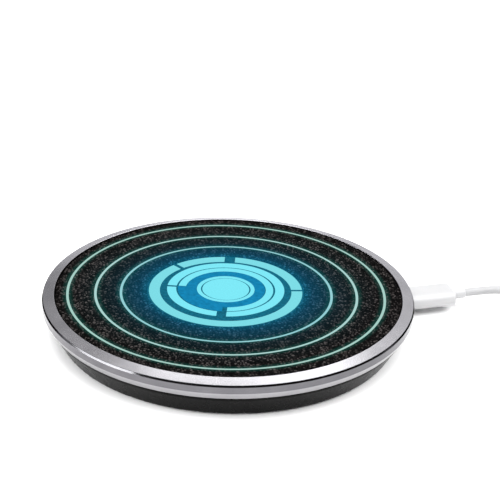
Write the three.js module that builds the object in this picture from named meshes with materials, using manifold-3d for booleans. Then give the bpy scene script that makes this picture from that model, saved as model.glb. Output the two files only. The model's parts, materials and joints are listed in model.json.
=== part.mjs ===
// Round wireless charging pad with a lit emblem, an aluminium rim and a USB-C cable.
// Millimetres, +Z up. The origin is the centre of the pad on the surface it stands on.
// The socket faces +Y and the cable leaves along +Y.

import * as THREE from 'three';
import { mergeVertices } from 'three/addons/utils/BufferGeometryUtils.js';
import Module from 'manifold-3d';

const wasm = await Module();
wasm.setup();

// ---------------------------------------------------------------- driving dimensions

const FACETS = 48;          // sides of the large round parts
const FINE_GAP = 0.05;      // clearance around an inlay
const FIT_GAP = 0.1;        // clearance between housing parts

const RIM_RADIUS = 60;      // outside of the metal rim
const RIM_BORE = 56.05;     // wall of the rim around the leather
const RIM_TOP = 14.3;       // inner top edge of the rim, and height of the pad
const RIM_SHOULDER = [59.72, 13.42];    // outer end of the sloping top face, where a black chamfer starts
const RIM_BAND_TOP = 12.75; // upper and lower ends of the upright side band
const RIM_BAND_FOOT = 10.6;
const RIM_FOOT = 8.3;       // lower edge of the rim
const RIM_FOOT_RADIUS = 58.7;
const LEDGE_BORE = 54.1;    // ledge inside the rim that carries the top plate
const LEDGE_TOP = 11.1;
const LEDGE_FOOT = 9.9;
const SKIRT_BORE = 57.2;    // inside of the rim below its ledge

const BASE_BOTTOM = 0.25;   // underside of the base; only the foot stands lower
const BASE_FLOOR = 1.8;     // upper side of the base's floor
const BASE_TOP = 8.2;
const LIP_TOP = 9.7;        // lip of the base inside the rim

const FOOT_INNER = 43.5;
const FOOT_OUTER = 50.5;
const FOOT_TOP = 0.85;
const FOOT_GROOVE_TOP = 0.9;

const PLATE_RADIUS = 55.9;  // top plate
const PLATE_BOTTOM = 9.95;
const PLATE_FLOOR = 11.25;  // floor of the pocket for the light guide
const PLATE_TOP = 12.8;
const POCKET_RADIUS = 53.2;

const LEATHER_RADIUS = 55.85;
const LEATHER_BOTTOM = 12.9;
const LEATHER_TOP = 14.0;
const INLAY_DEPTH = 0.5;    // depth of the grooves and of the emblem's pocket in the leather
const INLAY_BOTTOM = LEATHER_TOP - INLAY_DEPTH + 0.02;
const INLAY_TOP = LEATHER_TOP - 0.02;

const RING_WIDTH = 0.8;     // the three thin light rings
const RING_RADII = { inner: 34, middle: 42.2, outer: 51.15 };
const RING_CENTRE = [-0.5, -0.6];   // the lit pattern sits slightly off the pad's centre
const EMBLEM_CENTRE = [-1.6, -0.55];
const CORE_SHIFT = [-0.95, 0.28];   // from there to the centre of everything inside the outer arcs

const EMBLEM_RADIUS = 25.3; // dark panel that carries the emblem's light windows
const PANEL_TOP = 13.78;
const WINDOW_BOTTOM = 13.8;

const GUIDE_RADIUS = 51.9;
const GUIDE_BOTTOM = 11.5;
const GUIDE_TOP = 12.6;

const SCREW_COUNT = 4;
const SCREW_CIRCLE = 47;

const BOARD_BOTTOM = 2.4;
const BOARD_TOP = 3.4;

const COIL_INNER = 10.2;    // charging coil and the ferrite behind it
const COIL_OUTER = 22;
const COIL_BOTTOM = 8.55;
const COIL_TOP = 9.8;
const FERRITE_RADIUS = 26;
const FERRITE_BOTTOM = 7.4;
const FERRITE_TOP = 8.4;

const PORT_HEIGHT = 5;      // axis of the socket and the plug
const SOCKET_MOUTH = 56;
const SOCKET_BACK = 48.65;
const PLUG_FACE = 57;       // front of the plug's grip
const PLUG_END = 77.6;
const PLUG_WIDTH = 10.6;
const PLUG_THICKNESS = 5;
const PLUG_SHELL_LENGTH = 6.65;
const RELIEF_END = 82.3;

const CABLE_DIAMETER = 2.8; // 0.92 m of cable, most of it wound into a flat ring of two layers
const TOUCH_GAP = 0.3;      // gap where cable pieces meet face to face
const WINDING_X = 20.4;     // centre of the wound cable
const WINDING_Y = 120;
const WINDING_INNER = 7.7;
const WINDING_OUTER = 21.9;
const WINDING_BOTTOM = 0.45;
const WINDING_TOP = 6.25;

const END_PLUG_X = 52;      // plug on the far end, lying flat beside the winding
const END_PLUG_HEIGHT = 3.8;
const END_RELIEF_START = 127.3;
const END_BODY_START = 120.3;
const END_BODY_FRONT = 99.3;
const END_SHELL_FRONT = 80.8;

// Directions are counted from +X towards +Y. The emblem is turned with its narrow gap to the left.
const EMBLEM_TURN = 73.5;

// ---------------------------------------------------------------- materials

function finish(color, roughness, metalness = 0) {
  return new THREE.MeshStandardMaterial({ color, roughness, metalness, flatShading: true });
}

const leather = finish(0x1d1c1c, 0.6);
const glow = finish(0x8fe6ef, 0.4);
const glowBlue = finish(0x0a7db4, 0.4);
const tealPanel = finish(0x0c2a33, 0.5);
const acrylic = finish(0xdfeef0, 0.1);
const rimMetal = finish(0xb9b8be, 0.28, 1);
const blackPlastic = finish(0x17171a, 0.45);
const silicone = finish(0x202022, 0.85);
const boardGreen = finish(0x14532d, 0.5);
const chipBlack = finish(0x101012, 0.55);
const ceramicTan = finish(0xa98f6a, 0.5);
const ferriteGrey = finish(0x2c2b2d, 0.6);
const copper = finish(0xb5673a, 0.35, 1);
const steel = finish(0xc4c5c8, 0.3, 1);
const ledWhite = finish(0xf2efe0, 0.4);
const whitePlastic = finish(0xf4f4f6, 0.35);
const whiteCable = finish(0xf1f1f3, 0.5);
const strapGrey = finish(0x3a3b3f, 0.9);

// ---------------------------------------------------------------- shape helpers

const radians = THREE.MathUtils.degToRad;

// Solid of revolution about Z from [radius, height] points. A profile that starts on the axis ends on it
// too, and any other is closed into a ring.
function revolve(points, facets = FACETS) {
  const outline = points.map(([r, z]) => new THREE.Vector2(r, z));
  if (THREE.ShapeUtils.area(outline) < 0) outline.reverse();
  if (outline[0].x > 0) outline.push(outline[0].clone());
  return new THREE.LatheGeometry(outline, facets).rotateX(Math.PI / 2);
}

// The same about a line along +Y at the given place, from [radius, y] points.
function revolveAlongY(points, x, z, facets = 16) {
  return revolve(points, facets).rotateX(-Math.PI / 2).translate(x, 0, z);
}

function disc(radius, bottom, top, facets = FACETS) {
  return revolve([[0, bottom], [radius, bottom], [radius, top], [0, top]], facets);
}

function ring(inner, outer, bottom, top, facets = FACETS) {
  return revolve([[inner, bottom], [outer, bottom], [outer, top], [inner, top]], facets);
}

function block(width, length, height, x, y, bottom) {
  return new THREE.BoxGeometry(width, length, height).translate(x, y, bottom + height / 2);
}

function extrudeUp(shape, bottom, top, curveSegments) {
  const options = { depth: top - bottom, bevelEnabled: false, curveSegments };
  return new THREE.ExtrudeGeometry(shape, options).translate(0, 0, bottom);
}

// Prism of a section drawn in X and Z, from y0 to y1, with its edges eased by the given bevel.
function extrudeAlongY(shape, y0, y1, x, z, bevel = 0) {
  const options = {
    depth: y1 - y0 - 2 * bevel,
    bevelEnabled: bevel > 0,
    bevelThickness: bevel,
    bevelSize: bevel,
    bevelOffset: -bevel,
    bevelSegments: 1,
    curveSegments: 2,
  };
  return new THREE.ExtrudeGeometry(shape, options).rotateX(-Math.PI / 2).translate(x, y0 + bevel, z);
}

function roundedRectangle(width, height, radius, Kind = THREE.Shape) {
  const x = width / 2;
  const y = height / 2;
  const outline = new Kind();
  outline.moveTo(-x + radius, -y);
  outline.lineTo(x - radius, -y);
  outline.absarc(x - radius, -y + radius, radius, -Math.PI / 2, 0);
  outline.lineTo(x, y - radius);
  outline.absarc(x - radius, y - radius, radius, 0, Math.PI / 2);
  outline.lineTo(-x + radius, y);
  outline.absarc(-x + radius, y - radius, radius, Math.PI / 2, Math.PI);
  outline.lineTo(-x, -y + radius);
  outline.absarc(-x + radius, -y + radius, radius, Math.PI, 1.5 * Math.PI);
  return outline;
}

function stadium(width, height, Kind = THREE.Shape) {
  return roundedRectangle(width, height, height / 2 - 0.01, Kind);
}

function hollow(outer, inner) {
  outer.holes.push(inner);
  return outer;
}

function tube(points, radius, steps, sides = 8) {
  const section = new THREE.Shape();
  for (let i = 0; i < sides; i += 1) {
    const angle = (2 * Math.PI * i) / sides;
    const corner = [radius * Math.cos(angle), radius * Math.sin(angle)];
    if (i === 0) section.moveTo(...corner);
    else section.lineTo(...corner);
  }
  section.closePath();
  const path = new THREE.CatmullRomCurve3(points.map((p) => new THREE.Vector3(...p)), false, 'centripetal');
  return new THREE.ExtrudeGeometry(section, { steps, extrudePath: path, bevelEnabled: false });
}

// Part of a flat ring between two gaps. Each gap has parallel sides and is centred on a direction.
function arcBand(inner, outer, from, to, bottom, top) {
  const endAngle = (gap, radius, side) => radians(gap.at + EMBLEM_TURN) + side * Math.asin(gap.half / radius);
  const shape = new THREE.Shape();
  shape.absarc(0, 0, outer, endAngle(from, outer, 1), endAngle(to, outer, -1), false);
  shape.absarc(0, 0, inner, endAngle(to, inner, -1), endAngle(from, inner, 1), true);
  shape.closePath();
  const sweep = to.at - from.at;
  return extrudeUp(shape, bottom, top, Math.max(3, Math.round(sweep / 18)));
}

// ---------------------------------------------------------------- cutting and joining

function toSolid(geometry) {
  const bare = geometry.clone();
  bare.deleteAttribute('normal');
  bare.deleteAttribute('uv');
  const merged = mergeVertices(bare, 1e-4);
  const index = Array.from(merged.index.array);
  const triVerts = [];
  for (let i = 0; i < index.length; i += 3) {
    const [a, b, c] = index.slice(i, i + 3);
    if (a !== b && b !== c && c !== a) triVerts.push(a, b, c);
  }
  const mesh = new wasm.Mesh({
    numProp: 3,
    vertProperties: new Float32Array(merged.attributes.position.array),
    triVerts: new Uint32Array(triVerts),
  });
  return new wasm.Manifold(mesh);
}

function toGeometry(solid) {
  const mesh = solid.getMesh();
  const geometry = new THREE.BufferGeometry();
  geometry.setAttribute('position', new THREE.BufferAttribute(mesh.vertProperties, 3));
  geometry.setIndex(new THREE.BufferAttribute(mesh.triVerts, 1));
  geometry.computeVertexNormals();
  return geometry;
}

function carve(geometry, added, removed) {
  let solid = toSolid(geometry);
  for (const extra of added) solid = solid.add(toSolid(extra));
  for (const cutter of removed) solid = solid.subtract(toSolid(cutter));
  return toGeometry(solid);
}

// ---------------------------------------------------------------- emblem layout

// Gaps: the direction of the centre line and half the width.
const gapRight = { at: 4, half: 0.7 };
const gapBack = { at: 88, half: 1.75 };
const gapLeftBack = { at: 134, half: 0.8 };
const gapLeft = { at: 176.5, half: 0.65 };
const gapFront = { at: 267, half: 1.55 };

function turned(gap, turns) {
  return { at: gap.at + 360 * turns, half: gap.half };
}

const EMBLEM_BANDS = {
  emblem_inner_arc: [13, 15.4, turned(gapFront, -1), gapLeft],
  emblem_middle_arc_long: [16.05, 19, turned(gapFront, -1), gapLeft],
  emblem_middle_arc_short: [16.05, 19, gapLeft, gapFront],
  emblem_outer_arc_medium: [21.3, 24.8, gapRight, gapBack],
  emblem_outer_arc_short: [21.3, 24.8, gapBack, gapLeftBack],
  emblem_outer_arc_long: [21.3, 24.8, gapLeftBack, turned(gapRight, 1)],
};

const CENTRE_DISC_RADIUS = 7.6;
const CENTRE_RING = [8.05, 9.35];
const FIELD = { inner: 9.45, outer: 12.75, wide: 15.5 };

// The blue field is a ring that widens in the sector that the inner arc leaves open.
function emblemField() {
  const start = radians(gapLeft.at + EMBLEM_TURN);
  const end = radians(gapFront.at + EMBLEM_TURN);
  const shape = new THREE.Shape();
  shape.absarc(0, 0, FIELD.wide, start, end, false);
  shape.absarc(0, 0, FIELD.outer, end, start + 2 * Math.PI, false);
  shape.closePath();
  const hole = new THREE.Path();
  hole.absarc(0, 0, FIELD.inner, 0, 2 * Math.PI, true);
  return extrudeUp(hollow(shape, hole), WINDOW_BOTTOM, INLAY_TOP, 12);
}

// ---------------------------------------------------------------- lit top

function leatherCover() {
  const groove = RING_WIDTH / 2 + FINE_GAP;
  const bottom = LEATHER_TOP - INLAY_DEPTH;
  const above = LEATHER_TOP + 1;
  const cover = revolve([
    [0, LEATHER_BOTTOM],
    [LEATHER_RADIUS, LEATHER_BOTTOM],
    [LEATHER_RADIUS, LEATHER_TOP - 0.25],
    [LEATHER_RADIUS - 0.3, LEATHER_TOP],
    [0, LEATHER_TOP],
  ]);
  const cutters = Object.values(RING_RADII).map((radius) => (
    ring(radius - groove, radius + groove, bottom, above).translate(...RING_CENTRE, 0)
  ));
  cutters.push(disc(EMBLEM_RADIUS + FIT_GAP, bottom, above, 36).translate(...EMBLEM_CENTRE, 0));
  return carve(cover, [], cutters);
}

const WIRE_HOLE = [25.8, 44.7];

function topPlate() {
  const profile = [
    [0, PLATE_BOTTOM],
    [LEDGE_BORE - 0.2, PLATE_BOTTOM],
    [LEDGE_BORE - 0.2, LEDGE_TOP + FINE_GAP],
    [PLATE_RADIUS, LEDGE_TOP + FINE_GAP],
    [PLATE_RADIUS, PLATE_TOP],
    [POCKET_RADIUS, PLATE_TOP],
    [POCKET_RADIUS, PLATE_FLOOR],
    [0, PLATE_FLOOR],
  ];
  const bosses = [];
  const pilots = [];
  for (const [x, y] of screwPlaces()) {
    bosses.push(disc(2.5, 5.7, PLATE_BOTTOM + 0.5, 12).translate(x, y, 0));
    pilots.push(disc(1, 5, 9.7, 8).translate(x, y, 0));
  }
  const wireHole = disc(1, PLATE_BOTTOM - 1, PLATE_FLOOR + 1, 8).translate(WIRE_HOLE[0], WIRE_HOLE[1], 0);
  return carve(revolve(profile), bosses, [...pilots, wireHole]);
}

function screwPlaces() {
  const places = [];
  for (let i = 0; i < SCREW_COUNT; i += 1) {
    const angle = radians(45 + (360 / SCREW_COUNT) * i);
    places.push([SCREW_CIRCLE * Math.cos(angle), SCREW_CIRCLE * Math.sin(angle)]);
  }
  return places;
}

// ---------------------------------------------------------------- housing

function metalRim() {
  return revolve([
    [RIM_BORE, RIM_TOP - 0.15],
    [RIM_BORE + 0.15, RIM_TOP],
    RIM_SHOULDER,
    [RIM_RADIUS, RIM_BAND_TOP],
    [RIM_RADIUS, RIM_BAND_FOOT],
    [RIM_FOOT_RADIUS, RIM_FOOT],
    [SKIRT_BORE, RIM_FOOT],
    [SKIRT_BORE, LEDGE_FOOT],
    [LEDGE_BORE, LEDGE_FOOT],
    [LEDGE_BORE, LEDGE_TOP],
    [RIM_BORE, LEDGE_TOP],
  ]);
}

const BOARD_POSTS = [[-16, 12], [16, 12], [-16, 40], [16, 40]];

function baseShell() {
  const profile = [
    [0, BASE_BOTTOM],
    [FOOT_INNER - 0.2, BASE_BOTTOM],
    [FOOT_INNER - 0.2, FOOT_GROOVE_TOP],
    [FOOT_OUTER + 0.2, FOOT_GROOVE_TOP],
    [FOOT_OUTER + 0.2, BASE_BOTTOM],
    [53.2, BASE_BOTTOM],
    [54, 0.5],
    [54.5, 1.2],
    [58.1, 7.3],
    [58.3, BASE_TOP],
    [SKIRT_BORE - FIT_GAP, BASE_TOP],
    [SKIRT_BORE - FIT_GAP, LIP_TOP],
    [55.9, LIP_TOP],
    [55.9, 8],
    [51.6, BASE_FLOOR],
    [0, BASE_FLOOR],
  ];
  const bosses = [];
  const holes = [];
  for (const [x, y] of screwPlaces()) {
    bosses.push(disc(3.2, BASE_FLOOR - 0.5, 5.5, 12).translate(x, y, 0));
    holes.push(disc(2.2, 0, 3.3, 12).translate(x, y, 0));
    holes.push(disc(1.2, 3, 6, 8).translate(x, y, 0));
  }
  for (const [x, y] of BOARD_POSTS) {
    bosses.push(disc(2.2, BASE_FLOOR - 0.5, BOARD_BOTTOM - FINE_GAP, 10).translate(x, y, 0));
    bosses.push(disc(0.9, BASE_FLOOR - 0.5, BOARD_TOP + 0.5, 8).translate(x, y, 0));
  }
  const recess = extrudeAlongY(stadium(11.4, 5.8), PLUG_FACE - 0.2, 62, 0, PORT_HEIGHT);
  const mouth = extrudeAlongY(stadium(9.3, 3.6), 50, 60, 0, PORT_HEIGHT);
  return carve(revolve(profile), bosses, [...holes, recess, mouth]);
}

function baseScrew(x, y) {
  const profile = [[0, 2], [1.9, 2], [1.9, 3.25], [0.95, 3.25], [0.95, 8.6], [0, 9.4]];
  return revolve(profile, 8).translate(x, y, 0);
}

// ---------------------------------------------------------------- electronics

function circuitBoard() {
  const corners = [[-20, 8], [20, 8], [20, 44], [9, 50.6], [-9, 50.6], [-20, 44]];
  const shape = new THREE.Shape(corners.map(([x, y]) => new THREE.Vector2(x, y)));
  for (const [x, y] of BOARD_POSTS) {
    const hole = new THREE.Path();
    hole.absarc(x, y, 1.05, 0, 2 * Math.PI, true);
    shape.holes.push(hole);
  }
  return extrudeUp(shape, BOARD_BOTTOM, BOARD_TOP, 4);
}

function usbSocketShell() {
  const outside = extrudeAlongY(stadium(8.94, 3.16), SOCKET_BACK, SOCKET_MOUTH, 0, PORT_HEIGHT);
  const inside = extrudeAlongY(stadium(8.4, 2.6), SOCKET_BACK + 0.4, SOCKET_MOUTH + 1, 0, PORT_HEIGHT);
  return carve(outside, [], [inside]);
}

function ferriteShield() {
  const slot = block(2.4, 22, 3, -2, 18.5, FERRITE_BOTTOM - 1);
  return carve(disc(FERRITE_RADIUS, FERRITE_BOTTOM, FERRITE_TOP, 32), [], [slot]);
}

const COIL_LEAD_OUTER = [
  [3, 22.7, 9.2],
  [3.2, 25.4, 9.1],
  [3.4, 27.6, 8],
  [3.5, 27.9, 6.3],
  [3.5, 27.6, 3.6],
];
const COIL_LEAD_INNER = [
  [-2, 8, 9.2],
  [-2, 8.7, 8.3],
  [-2, 10.4, 7.8],
  [-2, 18, 7.8],
  [-2, 25.6, 7.8],
  [-2.2, 27.8, 6.6],
  [-2.4, 27.9, 3.6],
];
const LED_WIRES = [
  [25.8, 44.7, 11.1],
  [25.8, 44.6, 9],
  [25, 43.8, 7],
  [22.5, 42, 5.2],
  [17.2, 37.6, 4.1],
];

// Small blocks soldered on the board: width, length, height, x, y.
const BOARD_BLOCKS = {
  controller_chip: [7, 7, 0.9, 0, 36],
  bridge_transistor_1: [5, 6, 1, -11, 35],
  bridge_transistor_2: [5, 6, 1, 11, 35],
  resonant_capacitor_1: [3.2, 2.5, 2.2, -9, 14],
  resonant_capacitor_2: [3.2, 2.5, 2.2, -3, 14],
  resonant_capacitor_3: [3.2, 2.5, 2.2, 3, 14],
  resonant_capacitor_4: [3.2, 2.5, 2.2, 9, 14],
  input_inductor: [6.5, 6.5, 3, -12, 24.5],
};

// ---------------------------------------------------------------- cable

// Route of the cable from the strain relief to the winding, and from the winding to the far plug.
const CABLE_ROUTE = [
  [0, RELIEF_END + TOUCH_GAP, PORT_HEIGHT],
  [0, 87, PORT_HEIGHT],
  [0, 92, 4.9],
  [0, 97, 4.3],
  [0, 101.5, 3.3],
  [0, 105.5, 2.4],
  [0, 108.7, 2],
];
const CABLE_END_ROUTE = [
  [31.7, 140.4, 4.5],
  [35.5, 140.5, 3.8],
  [39.5, 140.4, 2.9],
  [44.3, 139.4, 2.1],
  [48.4, 136.7, 2],
  [51, 132.7, 2.9],
  [END_PLUG_X, END_RELIEF_START + TOUCH_GAP, END_PLUG_HEIGHT],
];

function windingRing() {
  const soft = 1.2;
  return revolve([
    [WINDING_INNER + soft, WINDING_BOTTOM],
    [WINDING_OUTER - soft, WINDING_BOTTOM],
    [WINDING_OUTER, WINDING_BOTTOM + soft],
    [WINDING_OUTER, WINDING_TOP - soft],
    [WINDING_OUTER - soft, WINDING_TOP],
    [WINDING_INNER + soft, WINDING_TOP],
    [WINDING_INNER, WINDING_TOP - soft],
    [WINDING_INNER, WINDING_BOTTOM + soft],
  ], 28);
}

// Strap around the winding's section.
function cableTie() {
  const thickness = 0.15;
  const width = 6;
  const innerSpan = [Math.sqrt(WINDING_INNER ** 2 - (width / 2) ** 2) - TOUCH_GAP, WINDING_OUTER + TOUCH_GAP];
  const middle = (innerSpan[0] + innerSpan[1]) / 2;
  const span = innerSpan[1] - innerSpan[0];
  const height = WINDING_TOP - WINDING_BOTTOM + 2 * FIT_GAP;
  const outside = roundedRectangle(span + 2 * thickness, height + 2 * thickness, 1.1);
  const inside = roundedRectangle(span, height, 1, THREE.Path);
  const strap = extrudeAlongY(hollow(outside, inside), -width / 2, width / 2, middle, 0);
  return strap.translate(0, 0, (WINDING_TOP + WINDING_BOTTOM) / 2);
}

// ---------------------------------------------------------------- assembly

const model = new THREE.Group();
const pad = new THREE.Group();
const cable = new THREE.Group();
model.add(pad, cable);

function place(group, name, geometry, material) {
  const mesh = new THREE.Mesh(geometry, material);
  mesh.name = name;
  group.add(mesh);
  return mesh;
}

// Lit top
place(pad, 'leather_cover', leatherCover(), leather);
for (const [which, radius] of Object.entries(RING_RADII)) {
  const band = ring(radius - RING_WIDTH / 2, radius + RING_WIDTH / 2, INLAY_BOTTOM, INLAY_TOP);
  place(pad, `light_ring_${which}`, band, glow).position.set(...RING_CENTRE, 0);
}
const emblem = new THREE.Group();
emblem.position.set(...EMBLEM_CENTRE, 0);
pad.add(emblem);
place(emblem, 'emblem_panel', disc(EMBLEM_RADIUS, INLAY_BOTTOM, PANEL_TOP, 36), tealPanel);
const core = new THREE.Group();
core.position.set(...CORE_SHIFT, 0);
emblem.add(core);
place(core, 'emblem_centre_disc', disc(CENTRE_DISC_RADIUS, WINDOW_BOTTOM, INLAY_TOP, 32), glow);
place(core, 'emblem_centre_ring', ring(...CENTRE_RING, WINDOW_BOTTOM, INLAY_TOP, 32), glow);
place(core, 'emblem_field', emblemField(), glowBlue);
for (const [name, [inner, outer, from, to]] of Object.entries(EMBLEM_BANDS)) {
  const holder = name.startsWith('emblem_outer') ? emblem : core;
  place(holder, name, arcBand(inner, outer, from, to, WINDOW_BOTTOM, INLAY_TOP), glow);
}
place(pad, 'light_guide', disc(GUIDE_RADIUS, GUIDE_BOTTOM, GUIDE_TOP), acrylic);
place(pad, 'led_flex_ring', ring(50.6, 53, PLATE_FLOOR + FINE_GAP, GUIDE_BOTTOM - 0.08, 36), boardGreen);
for (let i = 0; i < 6; i += 1) {
  const led = place(pad, `led_${i + 1}`, block(0.9, 3, 0.9, 52.52, 0, GUIDE_BOTTOM), ledWhite);
  led.rotation.z = radians(60 * i + 30);
}
place(pad, 'led_wires', tube(LED_WIRES, 0.4, 10), copper);
place(pad, 'top_plate', topPlate(), blackPlastic);

// Housing
place(pad, 'metal_rim', metalRim(), rimMetal);
place(pad, 'base_shell', baseShell(), blackPlastic);
place(pad, 'foot_ring', ring(FOOT_INNER, FOOT_OUTER, 0, FOOT_TOP), silicone);
screwPlaces().forEach(([x, y], i) => place(pad, `base_screw_${i + 1}`, baseScrew(x, y), steel));

// Electronics
place(pad, 'circuit_board', circuitBoard(), boardGreen);
for (const [name, [width, length, height, x, y]] of Object.entries(BOARD_BLOCKS)) {
  const body = block(width, length, height, x, y, BOARD_TOP + FINE_GAP);
  place(pad, name, body, name.startsWith('resonant') ? ceramicTan : chipBlack);
}
place(pad, 'buffer_capacitor', disc(3.15, BOARD_TOP + FINE_GAP, 6.8, 16).translate(12, 24.5, 0), steel);
place(pad, 'usb_socket_shell', usbSocketShell(), steel);
const tongue = extrudeAlongY(roundedRectangle(6.7, 0.7, 0.2), SOCKET_BACK + 0.45, 54.4, 0, PORT_HEIGHT);
place(pad, 'usb_socket_tongue', tongue, chipBlack);
place(pad, 'ferrite_shield', ferriteShield(), ferriteGrey);
place(pad, 'transmit_coil', ring(COIL_INNER, COIL_OUTER, COIL_BOTTOM, COIL_TOP, 32), copper);
place(pad, 'coil_lead_outer', tube(COIL_LEAD_OUTER, 0.55, 10), copper);
place(pad, 'coil_lead_inner', tube(COIL_LEAD_INNER, 0.55, 14), copper);
place(pad, 'temperature_sensor', disc(2, COIL_BOTTOM, COIL_TOP - 0.3, 12), chipBlack);

// Cable with its USB-C plug
const shellStart = PLUG_FACE - PLUG_SHELL_LENGTH;
const shellSection = hollow(stadium(8.25, 2.4), stadium(7.85, 2, THREE.Path));
const shellEnd = PLUG_FACE - FINE_GAP;
place(cable, 'plug_shell', extrudeAlongY(shellSection, shellStart, shellEnd, 0, PORT_HEIGHT), steel);
const coreBlank = extrudeAlongY(stadium(7.75, 1.9), shellStart + 0.1, shellEnd, 0, PORT_HEIGHT);
const coreSlot = extrudeAlongY(roundedRectangle(7, 1.1, 0.2), shellStart - 1, 55, 0, PORT_HEIGHT);
place(cable, 'plug_insulator', carve(coreBlank, [], [coreSlot]), chipBlack);
const gripSection = roundedRectangle(PLUG_WIDTH, PLUG_THICKNESS, 2);
place(cable, 'plug_body', extrudeAlongY(gripSection, PLUG_FACE, PLUG_END, 0, PORT_HEIGHT, 0.4), whitePlastic);
const reliefStart = PLUG_END + FIT_GAP;
const reliefProfile = [[0, reliefStart], [1.85, reliefStart], [1.75, RELIEF_END], [0, RELIEF_END]];
place(cable, 'strain_relief', revolveAlongY(reliefProfile, 0, PORT_HEIGHT), whitePlastic);
place(cable, 'cable', tube(CABLE_ROUTE, CABLE_DIAMETER / 2, 14), whiteCable);

// Wound length, strap and far plug
place(cable, 'cable_coil', windingRing(), whiteCable).position.set(WINDING_X, WINDING_Y, 0);
const tie = place(cable, 'cable_tie', cableTie(), strapGrey);
tie.position.set(WINDING_X, WINDING_Y, 0);
tie.rotation.z = radians(140);
place(cable, 'cable_end', tube(CABLE_END_ROUTE, CABLE_DIAMETER / 2, 12), whiteCable);
const endReliefProfile = [
  [0, END_BODY_START + FIT_GAP],
  [2.6, END_BODY_START + FIT_GAP],
  [1.8, END_RELIEF_START],
  [0, END_RELIEF_START],
];
const endRelief = revolveAlongY(endReliefProfile, END_PLUG_X, END_PLUG_HEIGHT);
place(cable, 'usb_a_strain_relief', endRelief, whitePlastic);
const endGrip = roundedRectangle(15.4, 2 * END_PLUG_HEIGHT, 2.2);
const endBody = extrudeAlongY(endGrip, END_BODY_FRONT, END_BODY_START, END_PLUG_X, END_PLUG_HEIGHT, 0.5);
place(cable, 'usb_a_plug_body', endBody, whitePlastic);
const endShellSection = hollow(roundedRectangle(12, 4.5, 0.6), roundedRectangle(11.4, 3.9, 0.3, THREE.Path));
const endShellBack = END_BODY_FRONT - FIT_GAP;
const endShell = extrudeAlongY(endShellSection, END_SHELL_FRONT, endShellBack, END_PLUG_X, END_PLUG_HEIGHT);
place(cable, 'usb_a_plug_shell', endShell, steel);
const endTongue = block(11.1, endShellBack - END_SHELL_FRONT - 0.6, 1.7, END_PLUG_X, 0, END_PLUG_HEIGHT);
endTongue.translate(0, (END_SHELL_FRONT + endShellBack) / 2, 0.1);
place(cable, 'usb_a_plug_tongue', endTongue, chipBlack);

export default model;
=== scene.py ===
import json
import math

import bmesh
import bpy
from mathutils import Matrix, Vector


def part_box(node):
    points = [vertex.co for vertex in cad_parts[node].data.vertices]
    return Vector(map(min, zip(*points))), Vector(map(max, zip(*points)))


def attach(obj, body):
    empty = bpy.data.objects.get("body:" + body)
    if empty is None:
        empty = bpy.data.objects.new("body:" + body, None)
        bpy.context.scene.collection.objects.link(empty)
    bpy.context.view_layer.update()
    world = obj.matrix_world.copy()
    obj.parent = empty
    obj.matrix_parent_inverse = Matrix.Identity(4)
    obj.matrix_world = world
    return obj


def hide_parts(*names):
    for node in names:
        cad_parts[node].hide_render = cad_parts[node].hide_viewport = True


# Looks of a round wireless charging pad with a lit emblem and a USB-C lead. Metres, +Z up, the CAD frame:
# the origin is the centre of the pad on the table, and the lead leaves along +Y.

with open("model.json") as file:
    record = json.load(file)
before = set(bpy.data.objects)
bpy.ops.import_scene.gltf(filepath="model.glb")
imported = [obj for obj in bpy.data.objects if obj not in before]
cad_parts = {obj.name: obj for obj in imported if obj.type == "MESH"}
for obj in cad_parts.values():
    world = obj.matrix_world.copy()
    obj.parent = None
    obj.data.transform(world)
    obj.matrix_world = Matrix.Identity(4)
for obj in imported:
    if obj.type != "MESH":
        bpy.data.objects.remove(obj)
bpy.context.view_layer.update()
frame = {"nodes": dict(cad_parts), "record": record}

TURN = 2 * math.pi
FINE = 192                                   # sides of the large round pieces

rim_low, rim_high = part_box("metal_rim")
base_low, base_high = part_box("base_shell")
leather_low, leather_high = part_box("leather_cover")
foot_low, foot_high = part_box("foot_ring")
panel_low, panel_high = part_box("emblem_panel")
plug_low, plug_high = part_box("plug_body")
relief_low, relief_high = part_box("strain_relief")
coil_low, coil_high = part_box("cable_coil")


def mm(value):
    return value / 1000


def middle(low, high):
    return (low + high) / 2


# ------------------------------------------------------------------ camera

AIM = Vector((0, 0, mm(14.2)))
LENS = 132.7                                 # millimetres
VIEW_AZIMUTH = math.radians(73.5)
VIEW_ELEVATION = math.radians(25.47)
VIEW_ROLL = math.radians(-1.89)
VIEW_DISTANCE = 0.5952
FRAMING_RIGHT = mm(6.9)                      # how far the view is moved off the pad's centre
FRAMING_UP = mm(13.45)


def view_axes():
    """Right, up and back of the camera."""
    level = Vector((math.cos(VIEW_AZIMUTH), math.sin(VIEW_AZIMUTH), 0))
    flat_back = Vector((math.sin(VIEW_AZIMUTH), -math.cos(VIEW_AZIMUTH), 0))
    back = flat_back * math.cos(VIEW_ELEVATION) + Vector((0, 0, math.sin(VIEW_ELEVATION)))
    upright = back.cross(level)
    right = level * math.cos(VIEW_ROLL) - upright * math.sin(VIEW_ROLL)
    up = level * math.sin(VIEW_ROLL) + upright * math.cos(VIEW_ROLL)
    return right, up, back


def make_camera():
    """Camera at the main view, moved sideways and up without turning it."""
    right, up, back = view_axes()
    data = bpy.data.cameras.new("camera")
    data.lens = LENS
    camera = bpy.data.objects.new("camera", data)
    bpy.context.scene.collection.objects.link(camera)
    turn = Matrix((right, up, back)).transposed()
    place = AIM + right * FRAMING_RIGHT + up * FRAMING_UP + back * VIEW_DISTANCE
    camera.matrix_world = Matrix.Translation(place) @ turn.to_4x4()
    bpy.context.scene.camera = camera


make_camera()

# ------------------------------------------------------------------ shader helpers


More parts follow.
